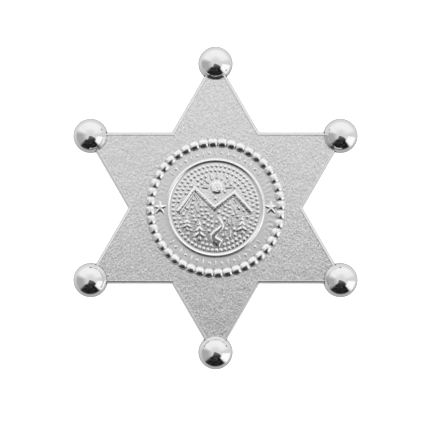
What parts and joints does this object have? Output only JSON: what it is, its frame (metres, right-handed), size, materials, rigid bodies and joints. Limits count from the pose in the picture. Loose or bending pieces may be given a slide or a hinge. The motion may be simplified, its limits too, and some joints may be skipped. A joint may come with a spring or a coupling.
{
  "type": "sheriff star badge",
  "caption": "Six-pointed silver star badge with ball tips, a raised rim, a ring of beads, a round relief medallion and a brooch pin at the back.",
  "frame": {"origin": "middle of the badge, on the surface that its six balls rest on", "axes": "+Z out of the badge's face, +Y towards the star's top point, +X to the right as seen from the front"},
  "size_m": [0.0616, 0.07, 0.0075],
  "materials": {
    "field_nickel": "satin nickel plate on a stippled cast field, with a polished rim",
    "ball_nickel": "mirror-polished nickel plate",
    "bead_nickel": "polished nickel plate, darker between the beads",
    "medallion_nickel": "satin nickel plate with bright raised relief",
    "pin_steel": "plain nickel-plated steel"
  },
  "bodies": {
    "root": {"star_plate": "field_nickel", "ball_tip_1": "ball_nickel", "ball_tip_2": "ball_nickel", "ball_tip_3": "ball_nickel", "ball_tip_4": "ball_nickel", "ball_tip_5": "ball_nickel", "ball_tip_6": "ball_nickel", "bead_ring": "bead_nickel", "medallion": "medallion_nickel", "pin_back": "pin_steel"}
  },
  "joints": []
}
